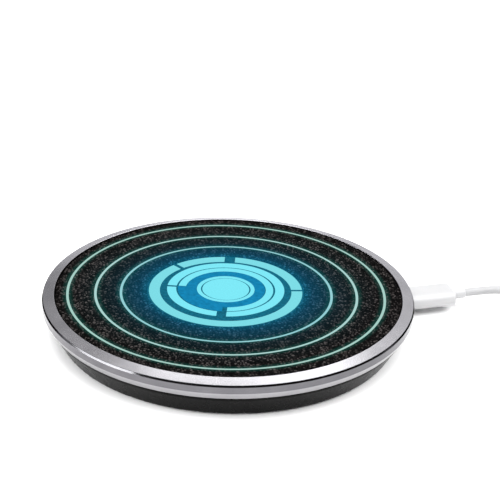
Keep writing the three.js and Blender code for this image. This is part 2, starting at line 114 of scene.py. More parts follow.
def add(tree, kind, inputs=None, **settings):
    """A shader node. An input is a number, a colour or another node's socket."""
    node = tree.nodes.new("ShaderNode" + kind)
    for key, value in settings.items():
        setattr(node, key, value)
    for socket, value in (inputs or {}).items():
        if isinstance(value, bpy.types.NodeSocket):
            tree.links.new(value, node.inputs[socket])
        else:
            node.inputs[socket].default_value = value
    return node


def rgb(red, green, blue):
    """Linear colour of a display colour given from 0 to 255."""
    def linear(value):
        share = value / 255
        return share / 12.92 if share <= 0.04045 else ((share + 0.055) / 1.055) ** 2.4
    return (linear(red), linear(green), linear(blue), 1)


def blank(name, **constants):
    """A principled material with these constants on its own sockets."""
    material = bpy.data.materials.new(name)
    material.use_nodes = True
    tree = material.node_tree
    shader = tree.nodes["Principled BSDF"]
    for socket, value in constants.items():
        shader.inputs[socket.replace("_", " ")].default_value = value
    return material, tree, shader


def object_point(tree, stretch=(1, 1, 1)):
    point = add(tree, "TexCoord").outputs["Object"]
    return add(tree, "Mapping", {"Vector": point, "Scale": stretch}).outputs["Vector"]


def ramp(tree, factor, stops):
    """Colour ramp from [position, colour] stops."""
    node = add(tree, "ValToRGB", {"Fac": factor})
    elements = node.color_ramp.elements
    while len(elements) < len(stops):
        elements.new(0.5)
    for element, (position, colour) in zip(elements, stops):
        element.position = position
        element.color = colour
    return node.outputs["Color"]


def math_node(tree, operation, *values):
    node = add(tree, "Math", operation=operation)
    for socket, value in zip(node.inputs, values):
        if isinstance(value, bpy.types.NodeSocket):
            tree.links.new(value, socket)
        else:
            socket.default_value = value
    return node.outputs[0]


def mix_colours(tree, blend, factor, first, second):
    """The second colour blended with the first by this share."""
    colour_sockets = {0: factor, 6: first, 7: second}
    return add(tree, "Mix", colour_sockets, data_type="RGBA", blend_type=blend).outputs[2]


def raise_bumps(tree, shader, pattern, height):
    """Bumps in the shape of the pattern, of this height in metres."""
    bump = add(tree, "Bump", {"Height": pattern, "Distance": height, "Strength": 1.0})
    tree.links.new(bump.outputs["Normal"], shader.inputs["Normal"])


def noise(tree, point, grain, detail=3, roughness=0.55):
    """Noise whose blotches are about as wide as grain, in metres."""
    inputs = {"Vector": point, "Scale": 1 / grain, "Detail": detail, "Roughness": roughness}
    return add(tree, "TexNoise", inputs).outputs["Fac"]


def between(tree, factor, low, high):
    """A number from low to high as factor goes from 0.3 to 0.7, the range that noise covers."""
    inputs = {"Value": factor, "From Min": 0.3, "From Max": 0.7, "To Min": low, "To Max": high}
    return add(tree, "MapRange", inputs).outputs["Result"]


def finish_material(name, dark, light, grain, roughness, relief=None, stretch=(1, 1, 1), **constants):
    """Two colours mixed by noise, a roughness that varies, and a relief of (grain, height)."""
    material, tree, shader = blank(name, **constants)
    point = object_point(tree, stretch)
    blotches = noise(tree, point, grain)
    colour = ramp(tree, blotches, [(0.32, dark), (0.68, light)])
    tree.links.new(colour, shader.inputs["Base Color"])
    wear = noise(tree, point, grain * 0.37, 5)
    tree.links.new(between(tree, wear, *roughness), shader.inputs["Roughness"])
    if relief:
        bump_grain, height = relief
        raise_bumps(tree, shader, noise(tree, point, bump_grain, 2), height)
    return material


# ------------------------------------------------------------------ materials

RING_NAMES = ("inner", "middle", "outer")
RING_WIDTH = mm(0.8)
RING_CENTRE = middle(*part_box("light_ring_outer"))
EMBLEM_CENTRE = middle(panel_low, panel_high)
CORE_CENTRE = middle(*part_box("emblem_centre_disc"))


def ring_radius(which):
    """Radius of a light ring's middle line."""
    low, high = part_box(f"light_ring_{which}")
    return (high.x - low.x) / 2 - RING_WIDTH / 2


RING_RADII = {which: ring_radius(which) for which in RING_NAMES}


def distance_from(tree, centre):
    """How far a point is from the upright line through centre."""
    point = add(tree, "TexCoord").outputs["Object"]
    flat = add(tree, "VectorMath", {0: point, 1: (1, 1, 0)}, operation="MULTIPLY").outputs[0]
    away = add(tree, "VectorMath", {0: flat, 1: (centre.x, centre.y, 0)}, operation="SUBTRACT").outputs[0]
    return add(tree, "VectorMath", {0: away}, operation="LENGTH").outputs["Value"]


PEBBLE = mm(1.0)                             # width of the leather's pebbles
# The leather's colour with painted light, from painted shade in the creases to painted highlights on the
# shiniest pebbles.
LEATHER_SHADE_AND_SHEEN_STOPS = [
    (0.0, (0.0003, 0.0003, 0.0003, 1)),
    (0.25, (0.0018, 0.0017, 0.0017, 1)),
    (0.6, (0.0115, 0.0103, 0.0100, 1)),
    (1.0, (0.042, 0.037, 0.0355, 1)),
]
GLOW_REACH = (mm(20), mm(50))                # distances from the emblem's centre
# Light that comes through the leather around the emblem, from GLOW_REACH's start to its end.
GLOW_STOPS = [
    (0.0, (0.0, 0.160, 0.300, 1)),
    (0.2, (0.0, 0.094, 0.168, 1)),
    (0.27, (0.0, 0.054, 0.104, 1)),
    (0.38, (0.0, 0.044, 0.076, 1)),
    (0.53, (0.0, 0.014, 0.022, 1)),
    (0.72, (0.0, 0.007, 0.009, 1)),
    (1.0, (0.0, 0.0, 0.0, 1)),
]
# The leather is darker where it is lit through, over the same reach.
THIN_STOPS = [(0.2, (0.2, 0.2, 0.2, 1)), (0.85, (1, 1, 1, 1))]
HALO_COLOUR = (0.0, 0.034, 0.026, 1)
HALO_REACH = (mm(0.4), mm(2.3))              # distances from a light ring's middle line


def leather_grain(tree, point):
    """Domed pebbles with creases between them: their height, a painted highlight on their domes with painted
    shade in the creases, and the streaks that break it up.
    """
    bend = noise(tree, point, mm(1.8), 2)
    warp = add(tree, "VectorMath", {0: bend, 1: (mm(0.9),) * 3}, operation="MULTIPLY").outputs[0]
    warped = add(tree, "VectorMath", {0: point, 1: warp}, operation="ADD").outputs[0]
    cell = {"Vector": warped, "Scale": 1 / PEBBLE, "Randomness": 0.9}
    crease = add(tree, "TexVoronoi", cell, feature="DISTANCE_TO_EDGE").outputs["Distance"]
    inputs = {"Value": crease, "From Max": 0.3}
    dome = add(tree, "MapRange", inputs, interpolation_type="SMOOTHSTEP").outputs["Result"]
    pores = noise(tree, point, mm(0.25), 3, 0.7)
    height = math_node(tree, "MULTIPLY_ADD", pores, 0.7, dome)
    own = add(tree, "TexVoronoi", cell, feature="F1").outputs["Color"]
    own_value = add(tree, "SeparateColor", {"Color": own}).outputs[0]
    # Painted highlight: brightest on each pebble's dome, with painted shade down in the creases.
    own_highlight_strength = math_node(tree, "MULTIPLY_ADD", own_value, 1.1, 0.2)
    painted_dome_highlight = math_node(tree, "MULTIPLY", dome, own_highlight_strength)
    streaks = noise(tree, point, mm(0.8), 4, 0.65)
    painted_pebble_light_and_shade = math_node(tree, "MULTIPLY", painted_dome_highlight, between(tree, streaks, 0.1, 1.75))
    return height, painted_pebble_light_and_shade, streaks


def ring_halo(tree):
    """A share that is 1 beside a light ring and falls to 0 a little way off."""
    away = distance_from(tree, RING_CENTRE)
    near, far = HALO_REACH
    halo = None
    for radius in RING_RADII.values():
        gap = math_node(tree, "ABSOLUTE", math_node(tree, "SUBTRACT", away, radius))
        inputs = {"Value": gap, "From Min": near, "From Max": far, "To Min": 1.0, "To Max": 0.0}
        share = add(tree, "MapRange", inputs, interpolation_type="SMOOTHSTEP").outputs["Result"]
        halo = share if halo is None else math_node(tree, "MAXIMUM", halo, share)
    return halo


def leather_material(name):
    """Grained leather with painted highlights on its pebbles and painted shade in its creases, lit through
    near the emblem and the rings.
    """
    material, tree, shader = blank(name, Specular_IOR_Level=0.01, Emission_Strength=1.0)
    height, painted_pebble_light_and_shade, streaks = leather_grain(tree, object_point(tree))
    raise_bumps(tree, shader, height, mm(0.1))
    tree.links.new(between(tree, streaks, 0.5, 0.75), shader.inputs["Roughness"])

    away = distance_from(tree, EMBLEM_CENTRE)
    inputs = {"Value": away, "From Min": GLOW_REACH[0], "From Max": GLOW_REACH[1]}
    share = add(tree, "MapRange", inputs).outputs["Result"]
    # The base colour carries the painted pebble highlights and the painted crease shade.
    grain = ramp(tree, painted_pebble_light_and_shade, LEATHER_SHADE_AND_SHEEN_STOPS)
    thinned = mix_colours(tree, "MULTIPLY", 1.0, grain, ramp(tree, share, THIN_STOPS))
    tree.links.new(thinned, shader.inputs["Base Color"])

    through = math_node(tree, "MULTIPLY_ADD", painted_pebble_light_and_shade, 0.9, 0.65)
    lit = mix_colours(tree, "MULTIPLY", 1.0, ramp(tree, share, GLOW_STOPS), through)
    haloed = mix_colours(tree, "ADD", ring_halo(tree), lit, HALO_COLOUR)
    tree.links.new(haloed, shader.inputs["Emission Color"])
    return material


def window_material(name, colour, grain=mm(0.5), spread=0.05):
    """A translucent window lit from below."""
    material, tree, shader = blank(name, Specular_IOR_Level=0.005, Emission_Strength=1.0)
    point = object_point(tree)
    cloud = noise(tree, point, grain)
    dim = tuple(channel * (1 - spread) for channel in colour[:3]) + (1,)
    bright = tuple(channel * (1 + spread) for channel in colour[:3]) + (1,)
    tree.links.new(ramp(tree, cloud, [(0.3, dim), (0.7, bright)]), shader.inputs["Emission Color"])
    shell = ramp(tree, cloud, [(0.3, (0.001, 0.002, 0.002, 1)), (0.7, (0.002, 0.003, 0.003, 1))])
    tree.links.new(shell, shader.inputs["Base Color"])
    tree.links.new(between(tree, cloud, 0.45, 0.6), shader.inputs["Roughness"])
    raise_bumps(tree, shader, noise(tree, point, mm(0.3), 2), mm(0.01))
    return material


def turned_metal(name, dark, light, roughness, anisotropy, **constants):
    """Metal turned on a lathe: fine scratches that run round the pad's axis."""
    material, tree, shader = blank(name, Metallic=1.0, Anisotropic=anisotropy, **constants)
    point = add(tree, "TexCoord").outputs["Object"]
    radius = distance_from(tree, Vector((0, 0, 0)))
    height = add(tree, "SeparateXYZ", {"Vector": point}).outputs["Z"]
    across = add(tree, "CombineXYZ", {"X": radius, "Y": height}).outputs["Vector"]
    scratches = noise(tree, across, mm(0.06), 4, 0.7)
    clouds = noise(tree, point, mm(6))
    fine_share = math_node(tree, "MULTIPLY", scratches, 0.4)
    broad_share = math_node(tree, "MULTIPLY", clouds, 0.6)
    mixed = math_node(tree, "ADD", fine_share, broad_share)
    tree.links.new(ramp(tree, mixed, [(0.3, dark), (0.7, light)]), shader.inputs["Base Color"])
    tree.links.new(between(tree, mixed, *roughness), shader.inputs["Roughness"])
    raise_bumps(tree, shader, scratches, mm(0.002))
    tangent = add(tree, "Tangent", direction_type="RADIAL", axis="Z")
    tree.links.new(tangent.outputs["Tangent"], shader.inputs["Tangent"])
    return material


def grey(value):
    return (value, value, value, 1)


CYAN = rgb(125, 233, 247)
MATERIALS = {
    "leather": leather_material("leather"),
    "disc_glow": window_material("disc_glow", CYAN),
    "arc_glow": window_material("arc_glow", rgb(124, 220, 230)),
    "ring_inner": window_material("ring_inner", rgb(147, 207, 213)),
    "ring_middle": window_material("ring_middle", rgb(171, 212, 208)),
    "ring_outer": window_material("ring_outer", rgb(167, 207, 198)),
    "blue_glow": window_material("blue_glow", rgb(8, 130, 178), mm(1.2), 0.18),
    "panel_glow": window_material("panel_glow", rgb(12, 104, 130), mm(0.7), 0.3),
    "rim_top": turned_metal(
        "rim_top", (0.61, 0.60, 0.63, 1), (0.69, 0.68, 0.71, 1), (0.2, 0.26), 0.6,
        Specular_Tint=(0.6, 0.6, 0.62, 1),
    ),
    # Copies of the top's metal: darker on the band as painted shade, lighter on the cut edge as painted
    # light, near black on the chamfer as a painted dark reflection.
    "rim_band_painted_shade": turned_metal("rim_band_painted_shade", (0.10, 0.098, 0.106, 1), (0.13, 0.127, 0.136, 1), (0.2, 0.28), 0.4),
    "rim_cut_painted_light": turned_metal("rim_cut_painted_light", (0.28, 0.275, 0.29, 1), (0.33, 0.325, 0.34, 1), (0.16, 0.24), 0.3),
    "rim_chamfer_painted_dark": turned_metal(
        "rim_chamfer_painted_dark", (0.028, 0.028, 0.03, 1), (0.038, 0.038, 0.04, 1), (0.1, 0.15), 0.2,
        Specular_Tint=grey(0.1),
    ),
    "base_plastic": finish_material(
        "base_plastic", grey(0.001), grey(0.003), mm(7), (0.26, 0.3), (mm(0.35), mm(0.002)), IOR=1.12,
    ),
    "silicone": finish_material(
        "silicone", grey(0.012), grey(0.02), mm(3), (0.7, 0.85), (mm(0.5), mm(0.03))
    ),
    "white_plastic": finish_material(
        "white_plastic", (0.41, 0.41, 0.415, 1), (0.44, 0.44, 0.445, 1), mm(8), (0.28, 0.38),
        (mm(0.4), mm(0.004)), Subsurface_Weight=0.08, Subsurface_Radius=(mm(1.2), mm(1.0), mm(0.9)),
    ),
    "cable_jacket": finish_material(
        "cable_jacket", (0.34, 0.34, 0.345, 1), (0.37, 0.37, 0.375, 1), mm(4), (0.45, 0.6),
        (mm(0.3), mm(0.006)),
    ),
    "strap": finish_material("strap", grey(0.03), grey(0.07), mm(0.4), (0.85, 0.95), (mm(0.25), mm(0.12))),
    "steel": finish_material(
        "steel", (0.58, 0.585, 0.6, 1), (0.7, 0.7, 0.71, 1), mm(2), (0.2, 0.34), (mm(0.12), mm(0.002)),
        (1, 6, 1), Metallic=1.0,
    ),
    "gold": finish_material(
        "gold", (0.75, 0.52, 0.2, 1), (0.85, 0.62, 0.28, 1), mm(1), (0.2, 0.3), Metallic=1.0
    ),
    "black_plastic": finish_material(
        "black_plastic", grey(0.01), grey(0.018), mm(5), (0.42, 0.56), (mm(0.4), mm(0.02))
    ),
    "clear_acrylic": finish_material(
        "clear_acrylic", (0.82, 0.88, 0.89, 1), (0.88, 0.93, 0.94, 1), mm(9), (0.04, 0.1),
        Transmission_Weight=0.85, IOR=1.49,
    ),
    "board": finish_material(
        "board", (0.004, 0.07, 0.025, 1), (0.008, 0.12, 0.045, 1), mm(1.6), (0.3, 0.45), (mm(0.5), mm(0.02))
    ),
    "led": finish_material("led", (0.75, 0.7, 0.45, 1), (0.85, 0.82, 0.6, 1), mm(0.8), (0.3, 0.4)),
    "copper": finish_material(
        "copper", (0.62, 0.22, 0.1, 1), (0.8, 0.34, 0.17, 1), mm(0.6), (0.25, 0.4), (mm(0.3), mm(0.03)),
        Metallic=1.0,
    ),
    "chip": finish_material("chip", grey(0.008), grey(0.02), mm(1.5), (0.5, 0.65), (mm(0.15), mm(0.01))),
    "ceramic": finish_material(
        "ceramic", (0.36, 0.26, 0.14, 1), (0.46, 0.34, 0.2, 1), mm(0.8), (0.4, 0.55), (mm(0.3), mm(0.01))
    ),
    "ferrite": finish_material(
        "ferrite", grey(0.02), grey(0.045), mm(0.7), (0.5, 0.7), (mm(0.2), mm(0.015))
    ),
}

# ------------------------------------------------------------------ mesh helpers

SHARP_ANGLE = math.radians(40)
MOST_OF_SIDE = 0.45                          # share of a side that one rounded corner may take
HAIR = 1e-6                                  # keeps a sliver of each straight side


def polar(centre, radius, angle, height):
    """Point at this distance and direction from the upright line through centre."""
    return Vector((centre[0] + radius * math.cos(angle), centre[1] + radius * math.sin(angle), height))


def circle(radius, height, centre=(0, 0), sides=FINE):
    return [polar(centre, radius, TURN * i / sides, height) for i in range(sides)]


def eased(corners, steps=3):
    """The outline with each (across, up, radius) corner rounded. A corner without a radius stays sharp."""
    outline = []
    for i, corner in enumerate(corners):
        here = Vector(corner[:2])
        if len(corner) == 2:
            outline.append(here)
            continue
        before = Vector(corners[i - 1][:2]) - here
        after = Vector(corners[(i + 1) % len(corners)][:2]) - here
        reach = min(corner[2], before.length * MOST_OF_SIDE, after.length * MOST_OF_SIDE)
        start = here + before.normalized() * reach
        end = here + after.normalized() * reach
        for step in range(steps + 1):
            t = step / steps
            outline.append(start * (1 - t) ** 2 + here * 2 * t * (1 - t) + end * t ** 2)
    return outline


def to_object(bm, name, materials):
    """A shaded object from a bmesh, with flat faces kept flat by weighted normals."""
    bmesh.ops.recalc_face_normals(bm, faces=bm.faces)
    mesh = bpy.data.meshes.new(name)
    bm.to_mesh(mesh)
    bm.free()
    for material in materials:
        mesh.materials.append(MATERIALS[material])
    for polygon in mesh.polygons:
        polygon.use_smooth = True
    mesh.set_sharp_from_angle(angle=SHARP_ANGLE)
    obj = bpy.data.objects.new(name, mesh)
    bpy.context.scene.collection.objects.link(obj)
    weighted = obj.modifiers.new("weighted normals", "WEIGHTED_NORMAL")
    weighted.keep_sharp = True
    return obj


def skin(bm, rings, closed=False, material_of=None):
    """Faces between rings of points. Open skins are closed with a face at each end."""
    loops = [[bm.verts.new(point) for point in ring] for ring in rings]
    pairs = list(zip(loops, loops[1:]))
    if closed:
        pairs.append((loops[-1], loops[0]))
    for index, (one, two) in enumerate(pairs):
        count = len(one)
        for i in range(count):
            j = (i + 1) % count
            face = bm.faces.new((one[i], one[j], two[j], two[i]))
            if material_of:
                face.material_index = material_of(index)
    if not closed:
        bm.faces.new(loops[0])
        bm.faces.new(loops[-1])
    return bm


def lathe(name, outline, material, closed=False, sides=FINE, centre=(0, 0)):
    """Solid of revolution from (radius, height) points."""
    rings = [circle(radius, height, centre, sides) for radius, height in outline]
    return to_object(skin(bmesh.new(), rings, closed), name, [material])


def rounded_ring(width, height, radius, y, centre=(0, 0), steps=8):
    """Rounded rectangle in X and Z at the given Y."""
    radius = min(radius, width / 2 - HAIR, height / 2 - HAIR)
    points = []
    for quarter in range(4):
        side_x = 1 if quarter in (0, 3) else -1
        side_z = 1 if quarter in (0, 1) else -1
        for step in range(steps + 1):
            angle = TURN / 4 * (quarter + step / steps)
            x = side_x * (width / 2 - radius) + radius * math.cos(angle)
            z = side_z * (height / 2 - radius) + radius * math.sin(angle)
            points.append(Vector((centre[0] + x, y, centre[1] + z)))
    return points


def cut(obj, cutters):
    """Takes the cutters away from obj for good."""
    for cutter in cutters:
        boolean = obj.modifiers.new("cut", "BOOLEAN")
        boolean.object = cutter
        boolean.solver = "EXACT"
        obj.modifiers.move(len(obj.modifiers) - 1, 0)
        bpy.context.view_layer.update()
        with bpy.context.temp_override(object=obj, active_object=obj, selected_objects=[obj]):
            bpy.ops.object.modifier_apply(modifier="cut")
        bpy.data.objects.remove(cutter)


def show(obj, body, slot, *nodes):
    """The piece rides on a body and stands for CAD nodes, which it hides. The slot is not used."""
    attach(obj, body)
    if nodes:
        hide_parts(*nodes)


# ------------------------------------------------------------------ cable

CABLE_DIAMETER = mm(2.8)
CABLE_STEP = mm(1.2)                         # spacing of the cable's points
PORT_HEIGHT = middle(plug_low, plug_high).z
# Places in metres, from the strain relief down to the table.
ROUTE_START = [
    (0.0, 0.0823, 0.005),
    (0.0, 0.0870, 0.005),
    (0.0, 0.0920, 0.0049),
    (0.0, 0.0970, 0.0043),
    (0.0, 0.1015, 0.0033),
    (0.0, 0.1055, 0.0024),
    (0.0, 0.1087, 0.0020),
    (0.0, 0.1140, 0.0019),
]
# From the winding's upper layer down beside it and into the far plug.
ROUTE_END = [
    (0.0260, 0.1404, 0.00475),
    (0.0317, 0.1404, 0.0045),
    (0.0355, 0.1404, 0.0038),
    (0.0395, 0.1404, 0.0029),
    (0.0443, 0.1394, 0.0021),
    (0.0484, 0.1367, 0.0020),
    (0.0510, 0.1327, 0.0029),
    (0.0520, 0.1276, 0.0038),
]
WINDING_CENTRE = middle(coil_low, coil_high)
OUTER_TURN = mm(20.4)                        # radius of the outermost turn
TURNS_PER_LAYER = 5
TURN_RADII = [OUTER_TURN - CABLE_DIAMETER * i for i in range(TURNS_PER_LAYER)]
LAYER_HEIGHTS = (mm(1.9), mm(4.75))          # of the cable's middle line
WINDING_TURNS = 9.25
JOG = 0.2                                    # share of a turn in which it steps to the next radius
CLIMB = (4.25, 5.0)                          # turns between which the cable climbs to the upper layer
POINTS_PER_TURN = 48


def smooth(t):
    """0 up to t = 0, 1 from t = 1, and an eased step between them."""
    t = max(0.0, min(1.0, t))
    return t * t * (3 - 2 * t)


def winding_point(turns):
    """Place after this many turns, clockwise from above: inwards in the lower layer, then outwards."""
    whole = int(turns)
    jog = smooth((turns - whole - (1 - JOG)) / JOG)
    radii = TURN_RADII + TURN_RADII[::-1] + TURN_RADII[:1]
    radius = radii[whole] * (1 - jog) + radii[whole + 1] * jog
    climbed = smooth((turns - CLIMB[0]) / (CLIMB[1] - CLIMB[0]))
    height = LAYER_HEIGHTS[0] * (1 - climbed) + LAYER_HEIGHTS[1] * climbed
    return polar(WINDING_CENTRE, radius, math.pi - TURN * turns, height)


def catmull_rom(points, step):
    """Smooth line through the points, with the given spacing."""
    points = [Vector(point) for point in points]
    before = 2 * points[0] - points[1]
    after = 2 * points[-1] - points[-2]
    chain = [before] + points + [after]
    line = []
    for a, b, c, d in zip(chain, chain[1:], chain[2:], chain[3:]):
        count = max(1, round((c - b).length / step))
        for i in range(count):
            t = i / count
            square = a * 2 - b * 5 + c * 4 - d
            cube = b * 3 - a - c * 3 + d
            line.append((b * 2 + (c - a) * t + square * t * t + cube * t ** 3) / 2)
    line.append(points[-1])
    return line


def make_cable():
    """One cord from the strain relief, down to the table, round the winding and up to the far plug."""
    count = round(POINTS_PER_TURN * WINDING_TURNS)
    winding = [winding_point(WINDING_TURNS * i / count) for i in range(count + 1)]
    line = catmull_rom(ROUTE_START + winding + ROUTE_END, CABLE_STEP)
    curve = bpy.data.curves.new("cable_lead", "CURVE")
    curve.dimensions = "3D"
    curve.bevel_depth = CABLE_DIAMETER / 2
    curve.bevel_resolution = 6
    curve.use_fill_caps = True
    spline = curve.splines.new("POLY")
    spline.points.add(len(line) - 1)
    for point, place in zip(spline.points, line):
        point.co = (*place, 1)
    spline.use_smooth = True
    curve.materials.append(MATERIALS["cable_jacket"])
    obj = bpy.data.objects.new("cable_lead", curve)
    bpy.context.scene.collection.objects.link(obj)
    show(obj, "cable", "cable_jacket", "cable", "cable_coil", "cable_end")
    return obj


cable_lead = make_cable()

# ------------------------------------------------------------------ rim, base and foot

# The band's, cut edge's and chamfer's finishes are copies of one metal, made darker, lighter and near black
# as painted shade, painted light and a painted dark reflection.
RIM_FINISHES = ["rim_top", "rim_band_painted_shade", "rim_cut_painted_light", "rim_chamfer_painted_dark"]
RIM_CORNER_STEPS = 3


def make_rim():
    """One turned part: a sloped bright top, a chamfer made near black as a painted dark reflection, an
    upright band darkened as painted shade and a cut lower edge lightened as painted light.
    """
    outer = rim_high.x
    top = rim_high.z
    foot = rim_low.z
    inner = outer - mm(3.95)
    foot_inner = outer - mm(2.8)
    shelf_inner = outer - mm(5.9)
    shelf_low = foot + mm(1.6)
    shelf_high = foot + mm(2.8)
    # (radius, height, corner radius), and the finish from this corner to the next
    corners = [
        ((inner, top - mm(0.15), mm(0.05)), "rim_band_painted_shade"),
        ((outer - mm(3.8), top, mm(0.06)), "rim_top"),
        ((outer - mm(0.28), top - mm(0.88), mm(0.05)), "rim_chamfer_painted_dark"),
        ((outer, top - mm(1.55), mm(0.06)), "rim_band_painted_shade"),
        ((outer, top - mm(3.7), mm(0.05)), "rim_cut_painted_light"),
        ((outer - mm(1.3), foot, mm(0.15)), "rim_band_painted_shade"),
        ((foot_inner, foot, mm(0.1)), "rim_band_painted_shade"),
        ((foot_inner, shelf_low, mm(0.1)), "rim_band_painted_shade"),
        ((shelf_inner, shelf_low, mm(0.1)), "rim_band_painted_shade"),
        ((shelf_inner, shelf_high, mm(0.1)), "rim_band_painted_shade"),
        ((inner, shelf_high, mm(0.1)), "rim_band_painted_shade"),
    ]

    def finish_of(index):
        finish = corners[index // (RIM_CORNER_STEPS + 1)][1]
        return RIM_FINISHES.index(finish)

    outline = eased([corner for corner, _ in corners], RIM_CORNER_STEPS)
    rings = [circle(radius, height) for radius, height in outline]
    bm = skin(bmesh.new(), rings, closed=True, material_of=finish_of)
    obj = to_object(bm, "rim_turned", RIM_FINISHES)
    show(obj, "pad", "rim_metal", "metal_rim")


def port_cutter(width, height, near, far):
    """Bar with round sides along Y, at the height of the socket."""
    rings = [rounded_ring(width, height, height / 2, y, (0, PORT_HEIGHT)) for y in (near, far)]
    return to_object(skin(bmesh.new(), rings), "port_cutter", ["base_plastic"])


def make_base():
    """Tapered lower housing, with a groove for the foot under it and an opening for the plug."""
    outer = base_high.x
    top = base_high.z
    bottom = base_low.z
    groove_in = mm(43.3)
    groove_out = foot_high.x + mm(0.2)
    groove_high = mm(0.9)
    middle_face = groove_in - mm(12)         # radius of the plain face in the middle
    plate_high = mm(1.8)
    shoulder = mm(8.2)
    step_radius = outer - mm(1.2)
    wall_inner = mm(55.9)
    corners = [
        (middle_face, bottom),
        (groove_in, bottom, mm(0.1)),
        (groove_in, groove_high, mm(0.05)),
        (groove_out, groove_high, mm(0.05)),
        (groove_out, bottom, mm(0.1)),
        (mm(53.2), bottom, mm(0.3)),
        (mm(54.0), mm(0.5), mm(0.4)),
        (mm(54.5), mm(1.2), mm(0.5)),
        (mm(58.1), mm(7.3), mm(0.4)),
        (outer, shoulder, mm(0.2)),
        (step_radius, shoulder, mm(0.1)),
        (step_radius, top, mm(0.1)),
        (wall_inner, top, mm(0.1)),
        (wall_inner, mm(8), mm(0.1)),
        (mm(51.6), plate_high, mm(0.2)),
        (middle_face, plate_high),
    ]
    obj = lathe("base_moulding", eased(corners), "base_plastic")
    # The plug's grip goes into the recess, and its metal shell into the narrower mouth behind it.
    recess = port_cutter(mm(11.4), mm(5.8), plug_low.y - mm(0.2), mm(66))
    mouth = port_cutter(mm(9.3), mm(3.6), mm(50), mm(62))
    cut(obj, [recess, mouth])
    show(obj, "pad", "black_plastic", "base_shell")


def make_foot():
    """Flat silicone ring with shallow grooves round its underside."""
    inner = mm(43.5)
    outer = foot_high.x
    groove_count = 4
    groove_half = mm(0.35)
    groove_depth = mm(0.25)
    corners = [(inner, foot_high.z, mm(0.1)), (inner, foot_low.z, mm(0.25))]
    for i in range(groove_count):
        at = inner + (outer - inner) * (i + 1) / (groove_count + 1)
        corners.append((at - groove_half, foot_low.z, mm(0.08)))
        corners.append((at, foot_low.z + groove_depth, mm(0.1)))
        corners.append((at + groove_half, foot_low.z, mm(0.08)))
    corners.append((outer, foot_low.z, mm(0.25)))
    corners.append((outer, foot_high.z, mm(0.1)))
    obj = lathe("foot_pad", eased(corners), "silicone", closed=True)
    show(obj, "pad", "silicone", "foot_ring")


make_rim()
make_base()
make_foot()

# ------------------------------------------------------------------ lit top

GROOVE_GAP = mm(0.05)                        # room between a light ring and its groove
INLAY_DEPTH = mm(0.5)


def make_leather():
    """Leather disc with a groove for each light ring and a pocket for the emblem. Each circle has its own
    centre, because the lit pattern sits a little off the pad's centre."""
    pad_centre = (0, 0)
    top = leather_high.z
    under = leather_low.z
    inlay_floor = top - INLAY_DEPTH
    edge = leather_high.x
    pocket = (panel_high.x - panel_low.x) / 2 + mm(0.1)
    middle_face = pocket - mm(8)             # radius of the plain face in the middle
    half = RING_WIDTH / 2 + GROOVE_GAP
    soft = mm(0.06)                          # rounding of the cut edges
    stations = [
        (middle_face, inlay_floor, EMBLEM_CENTRE),
        (pocket, inlay_floor, EMBLEM_CENTRE),
        (pocket, top - soft, EMBLEM_CENTRE),
        (pocket + soft, top, EMBLEM_CENTRE),
    ]
    for radius in RING_RADII.values():
        stations += [
            (radius - half - soft, top, RING_CENTRE),
            (radius - half, top - soft, RING_CENTRE),
            (radius - half, inlay_floor, RING_CENTRE),
            (radius + half, inlay_floor, RING_CENTRE),
            (radius + half, top - soft, RING_CENTRE),
            (radius + half + soft, top, RING_CENTRE),
        ]
    stations += [
        (edge - mm(0.6), top, pad_centre),
        (edge - mm(0.25), top - mm(0.06), pad_centre),
        (edge, top - mm(0.35), pad_centre),
        (edge, under, pad_centre),
        (middle_face, under, pad_centre),
    ]
    rings = [circle(radius, height, centre) for radius, height, centre in stations]
    obj = to_object(skin(bmesh.new(), rings), "leather_top", ["leather"])
    show(obj, "pad", "leather", "leather_cover")


def ring_section(inner, outer, low, high, lower_radius, upper_radius):
    """Corners of a flat ring's section."""
    return [
        (inner, low.z, lower_radius),
        (inner, high.z, upper_radius),
        (outer, high.z, upper_radius),
        (outer, low.z, lower_radius),
    ]


def make_light_rings():
    half = RING_WIDTH / 2
    for which, radius in RING_RADII.items():
        low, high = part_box(f"light_ring_{which}")
        outline = eased(ring_section(radius - half, radius + half, low, high, mm(0.05), mm(0.15)))
        obj = lathe(f"glow_ring_{which}", outline, f"ring_{which}", closed=True, centre=RING_CENTRE)
        show(obj, "pad", "light_window", f"light_ring_{which}")


EMBLEM_TURN = 73.5                           # degrees from +X to the direction that the gaps count from
# Gaps between the emblem's bands: direction in degrees and half the width.
GAP_RIGHT = (4, mm(0.7))
GAP_BACK = (88, mm(1.75))
GAP_LEFT_BACK = (134, mm(0.8))
GAP_LEFT = (176.5, mm(0.65))
GAP_FRONT = (267, mm(1.55))
# Inner and outer radius, and the gaps between which a band runs, anticlockwise from above.
BANDS = {
    "inner_arc": (mm(13), mm(15.4), GAP_FRONT, GAP_LEFT),
    "middle_arc_long": (mm(16.05), mm(19), GAP_FRONT, GAP_LEFT),
    "middle_arc_short": (mm(16.05), mm(19), GAP_LEFT, GAP_FRONT),
    "outer_arc_medium": (mm(21.3), mm(24.8), GAP_RIGHT, GAP_BACK),
    "outer_arc_short": (mm(21.3), mm(24.8), GAP_BACK, GAP_LEFT_BACK),
    "outer_arc_long": (mm(21.3), mm(24.8), GAP_LEFT_BACK, GAP_RIGHT),
}
BAND_STEP = 2                                # degrees
CORE_SIDES = 128
window_low, window_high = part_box("emblem_centre_disc")


